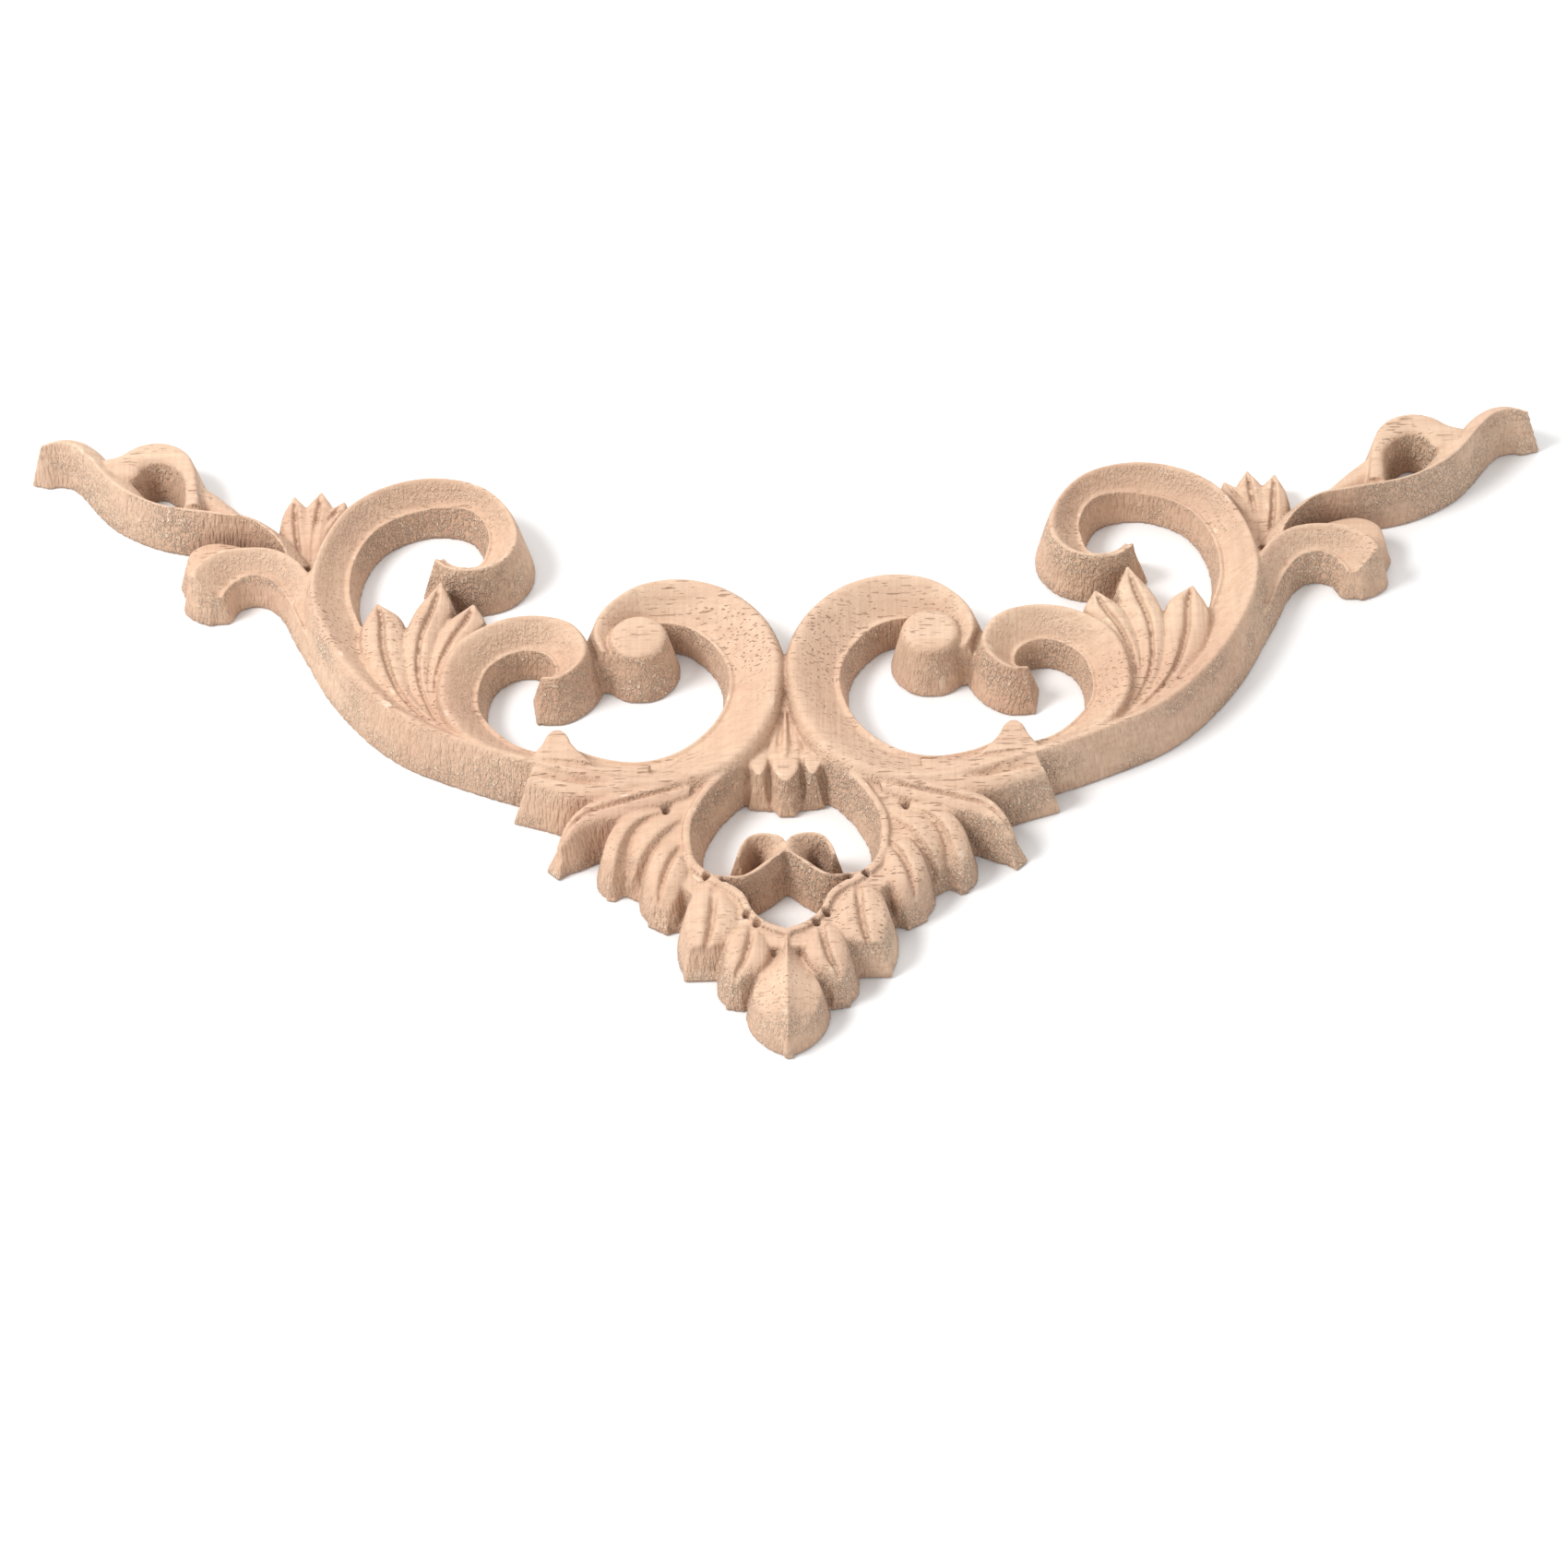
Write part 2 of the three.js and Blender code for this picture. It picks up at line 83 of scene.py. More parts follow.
# Middles of the pits drilled between the leaves' roots and the rim, right half.
ROOT_PITS = [(3.83, -46.32), (5.2, -44.78), (8.23, -38.99), (10.46, -38.42)]
PIT_RADIUS = 0.65
PIT_DEPTH = 1.6

# Sections across a strip: the share of the way across, and the fall below the crest in millimetres.
BAND = [
    (0.0, 1.35), (0.03, 0.85), (0.07, 0.35), (0.12, 0.05), (0.16, 0.0), (0.24, 0.2), (0.4, 0.95),
    (0.55, 1.75), (0.7, 2.5), (0.8, 2.95), (0.86, 3.2), (0.885, 3.42), (0.91, 3.2), (0.95, 2.95),
    (0.985, 3.05), (1.0, 3.3),
]
SHOULDERED = [
    (0.0, 2.4), (0.04, 1.75), (0.09, 0.95), (0.14, 0.35), (0.18, 0.05), (0.22, 0.0), (0.3, 0.25),
    (0.42, 0.95), (0.55, 1.75), (0.7, 2.5), (0.8, 2.95), (0.86, 3.2), (0.885, 3.42), (0.91, 3.2),
    (0.95, 2.95), (0.985, 3.05), (1.0, 3.3),
]
LEAF = [
    (0.0, 1.5), (0.05, 1.05), (0.13, 0.7), (0.25, 0.4), (0.38, 0.15), (0.5, 0.0), (0.62, 0.15), (0.75, 0.4),
    (0.87, 0.7), (0.95, 1.05), (1.0, 1.5),
]
RIDGED = [
    (0.0, 1.3), (0.05, 0.85), (0.15, 0.45), (0.3, 0.22), (0.45, 0.08), (0.57, 0.0), (0.63, 0.1), (0.7, 0.6),
    (0.78, 1.25), (0.88, 1.75), (0.95, 2.0), (1.0, 2.3),
]
VEINED = [
    (0.0, 1.4), (0.04, 0.85), (0.1, 0.5), (0.2, 0.22), (0.32, 0.0), (0.39, 0.08), (0.44, 0.5), (0.5, 1.25),
    (0.56, 0.5), (0.61, 0.08), (0.68, 0.0), (0.8, 0.22), (0.9, 0.5), (0.96, 0.85), (1.0, 1.4),
]
OPEN_LEAF = [
    (0.0, 0.3), (0.1, 0.15), (0.28, 0.3), (0.4, 0.6), (0.48, 1.1), (0.53, 0.9), (0.6, 0.3), (0.7, 0.0),
    (0.8, 0.15), (0.9, 0.5), (0.96, 0.85), (1.0, 1.3),
]
SLOPE = [
    (0.0, 2.6), (0.06, 2.2), (0.2, 1.7), (0.4, 1.15), (0.6, 0.65), (0.8, 0.2), (0.9, 0.0), (0.96, 0.12),
    (1.0, 0.55),
]
ROUND = [
    (0.0, 0.8), (0.05, 0.4), (0.15, 0.12), (0.35, 0.0), (0.6, 0.05), (0.8, 0.2), (0.92, 0.45), (1.0, 0.8),
]
EDGE = [(0.0, 0.45), (0.12, 0.15), (0.3, 0.0), (0.7, 0.0), (0.88, 0.15), (1.0, 0.45)]
SCOOPED = [
    (0.0, 0.3), (0.06, 0.0), (0.18, 0.05), (0.35, 0.45), (0.6, 1.2), (0.85, 2.1), (1.0, 2.7),
]
ROOF = [
    (0.0, 2.5), (0.1, 2.05), (0.22, 1.55), (0.36, 0.9), (0.46, 0.2), (0.5, 0.0), (0.54, 0.2), (0.64, 0.9),
    (0.78, 1.55), (0.9, 2.05), (1.0, 2.5),
]
FLUTED = [
    (0.0, 1.5), (0.06, 1.0), (0.12, 0.7), (0.2, 1.2), (0.28, 0.55), (0.34, 0.35), (0.41, 0.95),
    (0.47, 0.15), (0.5, 0.0), (0.53, 0.15), (0.59, 0.95), (0.66, 0.35), (0.72, 0.55), (0.8, 1.2),
    (0.88, 0.7), (0.94, 1.0), (1.0, 1.5),
]
PLATE = [(0.0, 0.35), (0.05, 0.1), (0.12, 0.0), (0.88, 0.0), (0.95, 0.1), (1.0, 0.35)]

# Each station of a strip is an outer point, an inner point and the crest's share of the thickness.
GREAT_SCROLL = [
    (25.4, 1.4, 21, 0.8, 0.9),
    (26.4, 4, 21, 3, 0.95),
    (26, 6.8, 20.8, 5.4, 0.98),
    (24.2, 9.8, 19.6, 7.4, 1),
    (20.2, 13.1, 16.8, 8, 1),
    (14, 14.2, 13, 7, 1),
    (7.6, 12.1, 9.9, 4, 1),
    (2.8, 7.2, 8.1, 0.6, 1),
    (0.2, 0.4, 7.6, -3.4, 1),
    (0.2, -6, 8.8, -8.4, 1),
    (1.8, -13, 11.6, -12.6, 1),
    (6, -19.5, 15.4, -15.5, 1),
    (13, -23.2, 20, -16.7, 1),
    (21, -23.6, 25, -15.8, 1),
    (28, -21.6, 29.2, -13.8, 1),
]
SMALL_SCROLL = [
    (33, -3, 33.1, -2.3, 0.84),
    (30.9, -3.4, 31.7, -1.9, 0.88),
    (28.4, -2.2, 31.3, -0.6, 0.93),
    (26.6, 0.2, 31.4, 0.8, 0.98),
    (26.7, 2.8, 32.1, 2.2, 1),
    (28.8, 6.2, 33.6, 3.3, 1),
    (32.6, 7.7, 35.8, 3.6, 1),
    (37, 7.7, 38.4, 2.6, 1),
    (41.2, 6.1, 40.6, 0.4, 1),
    (44.8, 3.2, 41.6, -3.2, 1),
    (47, -2.6, 41.4, -6.9, 1),
    (46.8, -9, 39.2, -10.6, 1),
    (42.5, -15.4, 35.8, -13.6, 1),
    (35.2, -18.9, 32.2, -14.8, 1),
    (27, -21.8, 28.6, -15, 1),
]
ARM_SCROLL = [
    (30, -21.1, 31.6, -16, 1),
    (41, -16.9, 39.4, -12.8, 1),
    (52, -11.2, 48, -6.8, 1),
    (59.6, -3, 54.2, 0.6, 1),
    (64.4, 5.8, 58.4, 9.4, 1),
    (66.2, 13.6, 60, 15.4, 1),
    (64.8, 21.8, 59.4, 21.8, 1),
    (61, 29.2, 56.6, 27, 1),
    (55.6, 33, 52, 29.8, 1),
    (48.8, 34.3, 47.4, 30.4, 1),
    (41.8, 32.2, 43.2, 29, 1),
    (37.5, 27.2, 41.2, 25.4, 1),
    (36, 21.2, 41.4, 22.2, 1),
    (38.4, 17, 42.2, 19.9, 1),
    (42.8, 15.7, 44.2, 18.8, 0.98),
    (46.4, 16.4, 46.1, 19.4, 0.95),
    (48.5, 18.4, 47.3, 20.5, 0.92),
]
HOOK = [
    (62.6, 12.2, 64.8, 5.4, 0.86),
    (65.2, 16.6, 67.2, 10.8, 0.94),
    (67.4, 19.4, 68.8, 14.6, 0.98),
    (70.6, 21.2, 71, 17.4, 1),
    (74.8, 21.6, 73.8, 18.2, 1),
    (78.8, 20.8, 76.2, 17.3, 1),
    (81.4, 18.6, 77.4, 15.5, 1),
    (82.3, 17, 77.6, 15, 0.97),
    (82, 16.4, 78.2, 14.9, 0.94),
    (81, 15.8, 79.2, 15.1, 0.88),
]
HOOK_UNDERLEAF = [
    (72, 22.6, 73.4, 20.6, 0.62),
    (76.6, 24.6, 77.2, 20.6, 0.62),
    (80, 25, 80.2, 19.4, 0.63),
    (82.6, 23.6, 81.6, 18.2, 0.6),
    (83.4, 20.8, 82, 17.4, 0.52),
]
ARM_END = [
    (65.6, 20.6, 67.8, 17.6, 0.84),
    (69.4, 25.2, 70.4, 23.2, 0.94),
    (73.6, 28.4, 74.4, 26.8, 0.98),
    (78.6, 29.9, 78.9, 27.8, 0.99),
    (86, 31, 86.2, 29.4, 0.99),
    (89, 32.6, 89.8, 31, 0.99),
    (91.4, 35.8, 93.2, 33.3, 0.99),
    (94.6, 39.6, 95.6, 36, 0.98),
    (97.1, 42.8, 97.6, 38.9, 0.98),
    (99.6, 44.6, 100, 41.5, 0.98),
    (102.2, 44.9, 102.5, 42.3, 0.97),
    (104.5, 43.4, 105, 42, 0.92),
]
END_CURL = [
    (96, 39.9, 93.8, 36.4, 0.87),
    (93.6, 40.8, 91.2, 36.6, 0.87),
    (91.2, 42.5, 90.1, 38.4, 0.87),
    (88.4, 43.1, 88, 39.1, 0.87),
    (85.6, 42.3, 86.2, 38.4, 0.87),
    (83.7, 40.4, 85, 37.2, 0.87),
    (82.5, 37, 84.2, 35.6, 0.86),
    (82, 33.6, 84, 33, 0.87),
    (81.6, 30.4, 83.8, 30.2, 0.92),
]
END_LEAF = [
    (72.6, 27.4, 74, 26.8, 0.66),
    (76, 30.8, 78.6, 29.2, 0.68),
    (79.2, 34.2, 82.6, 31.2, 0.68),
    (81.8, 36.6, 83.4, 34.8, 0.66),
]
TRIO = [
    [
        (64.4, 18.4, 66, 18.2, 0.5),
        (63.2, 26.6, 66.2, 26.6, 0.58),
        (61, 31, 64.5, 30.8, 0.58),
        (61.4, 33.2, 62, 33.2, 0.5),
    ],
    [
        (65, 18.4, 66.6, 18.2, 0.5),
        (63.5, 27, 67.5, 27, 0.6),
        (63.2, 32, 67.1, 32, 0.6),
        (64.8, 35.2, 65.3, 35.2, 0.5),
    ],
    [
        (65.6, 18.2, 67.6, 18.6, 0.5),
        (65.8, 26.4, 70.3, 26.2, 0.6),
        (66.6, 31.6, 70.4, 30.6, 0.6),
        (68.5, 34.4, 69.1, 34.4, 0.5),
    ],
]
PALMETTE = [
    [
        (45.4, -11.4, 47, -11.6, 0.8),
        (46.4, -3, 48.6, -3.4, 0.84),
        (43.6, 3.6, 48, 3.8, 0.86),
        (41, 8, 46.2, 8.4, 0.85),
        (42.4, 11.2, 43, 11.2, 0.8),
    ],
    [
        (45, -11.6, 47.6, -12.2, 0.8),
        (48, -3, 51.2, -3.6, 0.84),
        (47.4, 4.6, 52.2, 4.4, 0.88),
        (45.6, 10.8, 50.8, 10.4, 0.87),
        (47, 15.5, 47.6, 15.5, 0.8),
    ],
    [
        (44.4, -12.6, 46.4, -13.6, 0.84),
        (50.2, -5, 53.6, -6.2, 0.86),
        (51.6, 3.2, 57.8, 2, 0.88),
        (52.6, 9.2, 58, 8, 0.86),
        (55.7, 11.8, 56.4, 11.8, 0.78),
    ],
]
FAN = [
    [
        (18, -19.4, 19, -23.6, 0.97),
        (23.3, -19.8, 23.4, -24.8, 0.97),
        (28.2, -19.1, 28, -24.7, 0.97),
        (31.6, -18.7, 32.2, -23.2, 0.97),
        (33.7, -19.3, 34.8, -22.4, 0.95),
    ],
    [
        (12.6, -20.9, 12.8, -24.8, 0.92),
        (18.1, -22.4, 17.2, -26.6, 0.96),
        (22.6, -23.9, 22, -28.2, 0.97),
        (26.9, -25.8, 25.8, -29.2, 0.94),
        (29.3, -28.6, 28.2, -30.6, 0.86),
        (30.6, -30.8, 29.8, -31.6, 0.58),
    ],
    [
        (17, -25.6, 16, -27.8, 0.84),
        (20.8, -27, 18.4, -29.6, 0.93),
        (23.2, -29.8, 20.2, -32, 0.93),
        (24.3, -33, 21.2, -34.4, 0.82),
        (24.4, -35, 22, -35.8, 0.6),
        (23.7, -36.2, 22.8, -36.5, 0.38),
    ],
    [
        (14.2, -26.4, 13.6, -29.6, 0.84),
        (17.9, -28, 15, -31.8, 0.93),
        (20.2, -30.6, 16.6, -33.8, 0.92),
        (21, -33.2, 18.2, -35.2, 0.8),
        (21.1, -35.4, 19.6, -36.3, 0.5),
    ],
    [
        (14, -31, 13, -34.6, 0.8),
        (16.6, -32.4, 12.8, -37.2, 0.92),
        (18.2, -35.4, 13.6, -39.6, 0.9),
        (18.6, -38.6, 14.6, -41.4, 0.76),
        (17.8, -40.8, 15.8, -42, 0.5),
    ],
    [
        (11.4, -38.4, 7.6, -40.6, 0.8),
        (12.7, -41.7, 6.4, -43.4, 0.9),
        (13.4, -44.8, 6.2, -46.4, 0.9),
        (13.3, -47.4, 7, -48.4, 0.86),
        (12.8, -49.5, 8.4, -49.4, 0.76),
    ],
    [
        (6.2, -45.2, 2.8, -47.6, 0.8),
        (7.6, -48.5, 2.1, -50.8, 0.92),
        (8.2, -51.4, 3, -53.3, 0.86),
        (8.2, -53.4, 4.8, -54.3, 0.74),
        (7.5, -54.6, 6, -54.9, 0.58),
    ],
]
CORNER_LEAF = [
    (1.2, -48.6, -1.2, -48.6, 0.86),
    (2.1, -51.4, -2.1, -51.4, 0.93),
    (3.7, -54.4, -3.7, -54.4, 0.97),
    (4.4, -56.6, -4.4, -56.6, 0.97),
    (4.1, -58.6, -4.1, -58.6, 0.92),
    (3, -60.6, -3, -60.6, 0.82),
    (1.5, -62.2, -1.5, -62.2, 0.62),
    (0.4, -63, -0.4, -63, 0.46),
]
HEART_LEAF = [
    (0.6, -2, -0.6, -2, 0.7),
    (2.6, -10, -2.6, -10, 0.78),
    (4.6, -15.2, -4.6, -15.2, 0.8),
    (5, -17.6, -5, -17.6, 0.8),
]
DRIPS = [
    [
        (1.8, -15.4, -1.8, -15.4, 0.72),
        (1.8, -19.4, -1.8, -19.4, 0.79),
        (1.1, -20.9, -1.1, -20.9, 0.79),
        (0.3, -21.8, -0.3, -21.8, 0.76),
    ],
    [
        (4.9, -15.4, 2.4, -15.6, 0.72),
        (4.8, -18.6, 2.5, -18.8, 0.79),
        (4, -20.5, 3.2, -20.6, 0.77),
    ],
]
WREATH = [
    (9, -17.6, 5.4, -17.2, 0.76),
    (12, -21.4, 7.6, -20.6, 0.78),
    (14.6, -25, 10.3, -24.2, 0.8),
    (16.4, -29, 12.3, -28.7, 0.8),
    (16.6, -33.4, 12.5, -32.6, 0.8),
    (15.2, -37.6, 11.7, -36, 0.8),
    (12.4, -41, 9.6, -38.2, 0.8),
    (9.8, -44, 6.2, -41.4, 0.8),
    (7.6, -47, 5.2, -44.8, 0.8),
    (4.2, -49.6, 2.8, -46.8, 0.8),
    (-0.4, -50.4, -0.4, -47.6, 0.8),
]
RIM = [
    (6.6, -17, 5.4, -17.2, 0.9),
    (8.8, -20.2, 7.6, -20.6, 0.9),
    (11.4, -23.8, 10.3, -24.2, 0.9),
    (13.5, -28.5, 12.3, -28.7, 0.9),
    (13.7, -32.8, 12.5, -32.6, 0.9),
    (12.8, -36.6, 11.7, -36, 0.9),
    (10.3, -39.3, 9.6, -38.2, 0.9),
    (6.7, -41.9, 5.7, -41.3, 0.9),
    (5.3, -44.8, 4.4, -44.3, 0.9),
    (3.2, -47.1, 2.6, -46.3, 0.9),
    (-0.4, -48.8, -0.4, -47.6, 0.9),
]
VOLUTE = [
    (11.2, -38.3, 10.8, -37.1, 0.87),
    (8, -38.8, 7.9, -37.9, 0.88),
    (5.5, -38.8, 5.9, -37.9, 0.89),
    (3.6, -37.7, 4.2, -36.9, 0.9),
    (1.7, -36, 3, -35.6, 0.91),
    (-0.1, -34.3, 2.8, -34.6, 0.91),
    (-0.1, -33.2, 2.8, -33.9, 0.91),
    (0.7, -32.1, 3.1, -33.1, 0.92),
    (2.4, -31.6, 3.8, -32.7, 0.92),
    (4.6, -31.9, 4.8, -32.8, 0.92),
    (6, -33.5, 5.5, -33.8, 0.9),
    (6.5, -35.2, 6.1, -35.4, 0.88),
]
TOOTH = [
    (26, -19, 34.2, -18, 1),
    (28.6, -15.6, 32.6, -15.5, 0.98),
    (29.4, -13.6, 32, -13.7, 0.93),
    (30.2, -12.6, 31.2, -12.6, 0.88),
]

# Noise in the wood: cycles per millimetre along X, Y and Z, detail, roughness and distortion.
NOISES = {
    "broad": ((0.012, 0.05, 0.05), 3.0, 0.5, 0.0),
    "patches": ((0.06, 0.09, 0.09), 2.0, 0.5, 0.0),
    "grain": ((0.05, 0.9, 0.9), 3.0, 0.6, 0.4),
    "rings": ((0.025, 1.5, 1.5), 2.0, 0.5, 0.3),
    "pores": ((0.42, 3.4, 3.4), 1.0, 0.4, 0.0),
    "flecks": ((2.4, 2.4, 1.6), 2.0, 0.6, 0.0),
    "clusters": ((0.05, 0.1, 0.1), 2.0, 0.5, 0.0),
    "lines": ((2.3, 2.3, 0.08), 1.0, 0.6, 0.0),
    "passes": ((2.0, 0.07, 0.07), 1.0, 0.5, 0.0),
    "fuzz_places": ((0.09, 0.09, 0.14), 2.0, 0.5, 0.0),
}
# Values at which the mask made from a noise, a slope, a bend or a shaded place is 0 and 1.
MASKS = {
    "broad": (0.35, 0.65),
    "patches": (0.45, 0.75),
    "grain": (0.4, 0.75),
    "rings": (0.57, 0.66),
    "pores": (0.63, 0.71),
    "clusters": (0.45, 0.62),
    "flecks": (0.48, 0.62),
    "fuzz_places": (0.4, 0.6),
    "lines": (0.35, 0.65),
    "passes": (0.35, 0.65),
    "steep": (0.8, 0.35),
    # Painted highlight, partly also rubbed wear: the sharpest convex edges are lightened.
    "edge": (0.53, 0.62),
    # Painted shade: creases and inward bends are darkened.
    "crevice": (0.47, 0.39),
    # Painted shade: places that nearby relief occludes are darkened.
    "shelter": (0.8, 0.25),
}
DEEP_WOOD = (0.65, 0.43, 0.30, 1)
PALE_WOOD = (0.73, 0.53, 0.38, 1)
# How far a mask takes the wood's colour, and the colour that it takes it to.
TINTS = {
    "patches": (0.35, (0.57, 0.35, 0.265, 1)),
    "grain": (0.45, (0.51, 0.32, 0.22, 1)),
    "rings": (0.3, (0.50, 0.30, 0.20, 1)),
    "pores": (0.65, (0.25, 0.12, 0.065, 1)),
    "passes": (0.16, (0.45, 0.28, 0.19, 1)),
    "lines": (0.34, (0.45, 0.28, 0.19, 1)),
    "fuzz": (0.7, (0.82, 0.65, 0.49, 1)),
    # Painted highlight, partly also rubbed wear, on sharp edges.
    "edge": (0.5, (0.86, 0.70, 0.54, 1)),
    # Painted shade in creases.
    "crevice": (0.6, (0.34, 0.19, 0.12, 1)),
    # Painted shade in occluded hollows.
    "shelter": (0.5, (0.30, 0.165, 0.105, 1)),
}
# Heights of the relief in the finish, in millimetres.
HEIGHTS = {"pores": -0.12, "lines": 0.42, "fuzz": 0.3, "flecks": 0.06, "passes": 0.09, "grain": 0.04}
# Pores outside their clusters, and pores on the walls, show this much.
LONE_PORES = 0.12
WALL_PORES = 0.3
ROUGHNESS_READ = (0.3, 0.8)
ROUGHNESS = (0.7, 0.86)
WOOD_SPECULAR = 0.3
# Reach and samples of the ambient occlusion that paints shade into the base colour.
OCCLUSION_SHADE_REACH = 5.0
OCCLUSION_SHADE_SAMPLES = 8

# Each light's place and size in metres and power in watts, and the floor's reach and drop in metres.
LIGHTS = {
    "key": ((-0.6, -0.1, 0.75), 0.35, 6.9),
    "fill": ((0.1, 0.6, 0.7), 0.8, 2.4),
}
LIGHT_AIM = (0.0, 0.0, 0.0)
STUDIO_STRENGTH = 0.72
FLOOR_REACH = 3.0
FLOOR_DROP = 0.0002
FLOOR_GREY = 0.9
FLOOR_ROUGHNESS = 0.9

# The photograph's camera, in the millimetres that the onlay is drawn in, with angles in radians.
PHOTO_PX = 1700.0
FOCAL_PX = 5963.97
CAMERA_PLACE = (12.3424, -495.4928, 567.1438)
CAMERA_PITCH = 0.8699158
CAMERA_ROLL = -0.0422625
CAMERA_YAW = -0.0265418
SENSOR_WIDTH = 36.0
CLIP_START = 0.01


def rail(points):
    """A centripetal spline through the points: positions and directions."""
    points = np.array(points, float)
    count = len(points)
    ends = np.vstack([2 * points[0] - points[1], points, 2 * points[-1] - points[-2]])
    places = []
    for i in range(count - 1):
        p0, p1, p2, p3 = ends[i:i + 4]
        spans = [np.linalg.norm(b - a) for a, b in ((p0, p1), (p1, p2), (p2, p3))]
        d0, d1, d2 = [max(span ** 0.5, SHORTEST_GAP) for span in spans]
        t1 = ((p1 - p0) / d0 - (p2 - p0) / (d0 + d1) + (p2 - p1) / d1) * d1
        t2 = ((p2 - p1) / d1 - (p3 - p1) / (d1 + d2) + (p3 - p2) / d2) * d1
        c2 = -3 * p1 + 3 * p2 - 2 * t1 - t2
        c3 = 2 * p1 - 2 * p2 + t1 + t2
        shown = STATION_STEPS + 1 if i == count - 2 else STATION_STEPS
        for t in np.linspace(0, 1, STATION_STEPS + 1)[:shown]:
            places.append(p1 + t1 * t + c2 * t * t + c3 * t ** 3)
    places = np.array(places)
    return places, np.gradient(places, axis=0)


def strip(stations, section, end_run=0.0, square_start=False, full_width=TINY, flare=0.0):
    """A loft between two rails with a flat underside and leaning walls: one ring of points per step.

    The relief flattens where the strip is narrower than full_width, and flare spreads the outer wall
    at the start. A square start has no sloping end wall. The wall at the tip runs out by end_run at least.
    """
    outer, outer_way = rail([(s[0], s[1], s[4]) for s in stations])
    inner, inner_way = rail([(s[2], s[3], s[4]) for s in stations])
    rings = []
    last = len(outer) - 1
    for i in range(last + 1):
        a, b = outer[i], inner[i]
        crest = min(a[2], 1.0) * THICKNESS
        width = max(np.linalg.norm((b - a)[:2]), TINY)
        relief = min(1.0, width / full_width)
        tops = [
            (a[0] + (b[0] - a[0]) * share, a[1] + (b[1] - a[1]) * share, crest - fall * relief)
            for share, fall in section
        ]
        across = (b - a)[:2] / width
        spread = 1.0 + flare * max(0.0, 1.0 - i / (FLARED_STATIONS * STATION_STEPS))
        along = np.array([across[1], -across[0]])
        if along @ (outer_way[i] + inner_way[i])[:2] < 0:
            along = -along
        feet = []
        for way, away, top, lean in (
            (outer_way[i], -across, tops[0], DRAFT * spread), (inner_way[i], across, tops[-1], DRAFT),
        ):
            out = np.array([way[1], -way[0]])
            size = np.linalg.norm(out)
            out = away if size < TINY else out / size
            if out @ away < 0:
                out = -out
            feet.append(np.array(top[:2]) + out * lean * top[2])
        if (i == 0 and not square_start) or i == last:
            run = DRAFT * crest if i == 0 else max(end_run, DRAFT * crest)
            onward = -along if i == 0 else along
            for foot, top in zip(feet, (tops[0], tops[-1])):
                foot += onward * max(run - (foot - np.array(top[:2])) @ onward, 0.0)
        rings.append([(feet[0][0], feet[0][1], 0.0), *tops, (feet[1][0], feet[1][1], 0.0)])
    return np.array(rings)


def closed(rings, mirrored=False):
    """Vertices and faces of a closed loft."""
    count, size = rings.shape[:2]
    points = rings.reshape(-1, 3).copy()
    if mirrored:
        points[:, 0] *= -1
    faces = []
    for i in range(count - 1):
        for j in range(size):
            a = i * size + j
            b = i * size + (j + 1) % size
            faces.append((a, b, b + size, a + size))
    faces.append(tuple(reversed(range(size))))
    faces.append(tuple(range((count - 1) * size, count * size)))
    if mirrored:
        faces = [tuple(reversed(face)) for face in faces]
    return points, faces


def eye_rings():
    """The eye of the great scroll as a loft of closed rings, from the base to the softened top."""
    x, y = EYE_CENTRE
    turns = np.linspace(0, 2 * math.pi, EYE_STEPS, endpoint=False)
    rings = []
    for beyond, fall in EYE_PROFILE:
        radius = EYE_RADIUS + beyond
        height = THICKNESS - fall
        rings.append([(x + radius * math.cos(turn), y + radius * math.sin(turn), height) for turn in turns])
    return np.array(rings)


def carve():
    """All the strips of the onlay as one list of closed lofts."""
    side = [
        strip(GREAT_SCROLL, BAND, full_width=FULL_BAND_WIDTH, flare=END_FLARE),
        strip(SMALL_SCROLL, BAND, full_width=FULL_BAND_WIDTH, flare=END_FLARE),
        strip(ARM_SCROLL, SHOULDERED, full_width=FULL_BAND_WIDTH),
        strip(HOOK, BAND, full_width=FULL_BAND_WIDTH),
        strip(HOOK_UNDERLEAF, PLATE),
        strip(ARM_END, SLOPE),
        strip(END_CURL, ROUND),
        strip(END_LEAF, LEAF),
        strip(WREATH, PLATE),
        strip(RIM, EDGE),
        strip(VOLUTE, SCOOPED, full_width=SCOOP_WIDTH),
        strip(TOOTH, PLATE),
        strip(DRIPS[1], PLATE),
        eye_rings(),
    ]
    side += [strip(leaf, VEINED, square_start=True) for leaf in TRIO + PALMETTE]
    for i, leaf in enumerate(FAN):
        section = RIDGED if i in RIDGED_LEAVES else VEINED
        if i == ARM_LEAF:
            section = OPEN_LEAF
        run = TIP_RUN if i in LONG_TIPPED_LEAVES else 0.0
        side.append(strip(leaf, section, square_start=True, end_run=run))
    middle = [
        strip(CORNER_LEAF, ROOF, square_start=True),
        strip(HEART_LEAF, FLUTED),
        strip(DRIPS[0], PLATE),
    ]
    return [closed(r) for r in side + middle] + [closed(r, mirrored=True) for r in side]


def joined_mesh(name, pieces):
    """One mesh with the vertices and faces of all the lofts."""
    points, faces, start = [], [], 0
    for piece_points, piece_faces in pieces:
        points.append(piece_points)
        faces += [tuple(start + i for i in face) for face in piece_faces]
        start += len(piece_points)
    mesh = bpy.data.meshes.new(name)
    mesh.from_pydata(np.vstack(points).tolist(), [], faces)
    mesh.update()
    return mesh


def drilled(points):
    """The relief with small drilled pits pressed into it, on both halves."""
    for x, y in ROOT_PITS:
        for side in (x, -x):
            gap = np.hypot(points[:, 0] - side, points[:, 1] - y)
            depth = PIT_DEPTH * np.clip(1.0 - (gap / PIT_RADIUS) ** 2, 0.0, 1.0)
            points[:, 2] -= np.where(points[:, 2] > THICKNESS / 2, depth, 0.0)
    return points


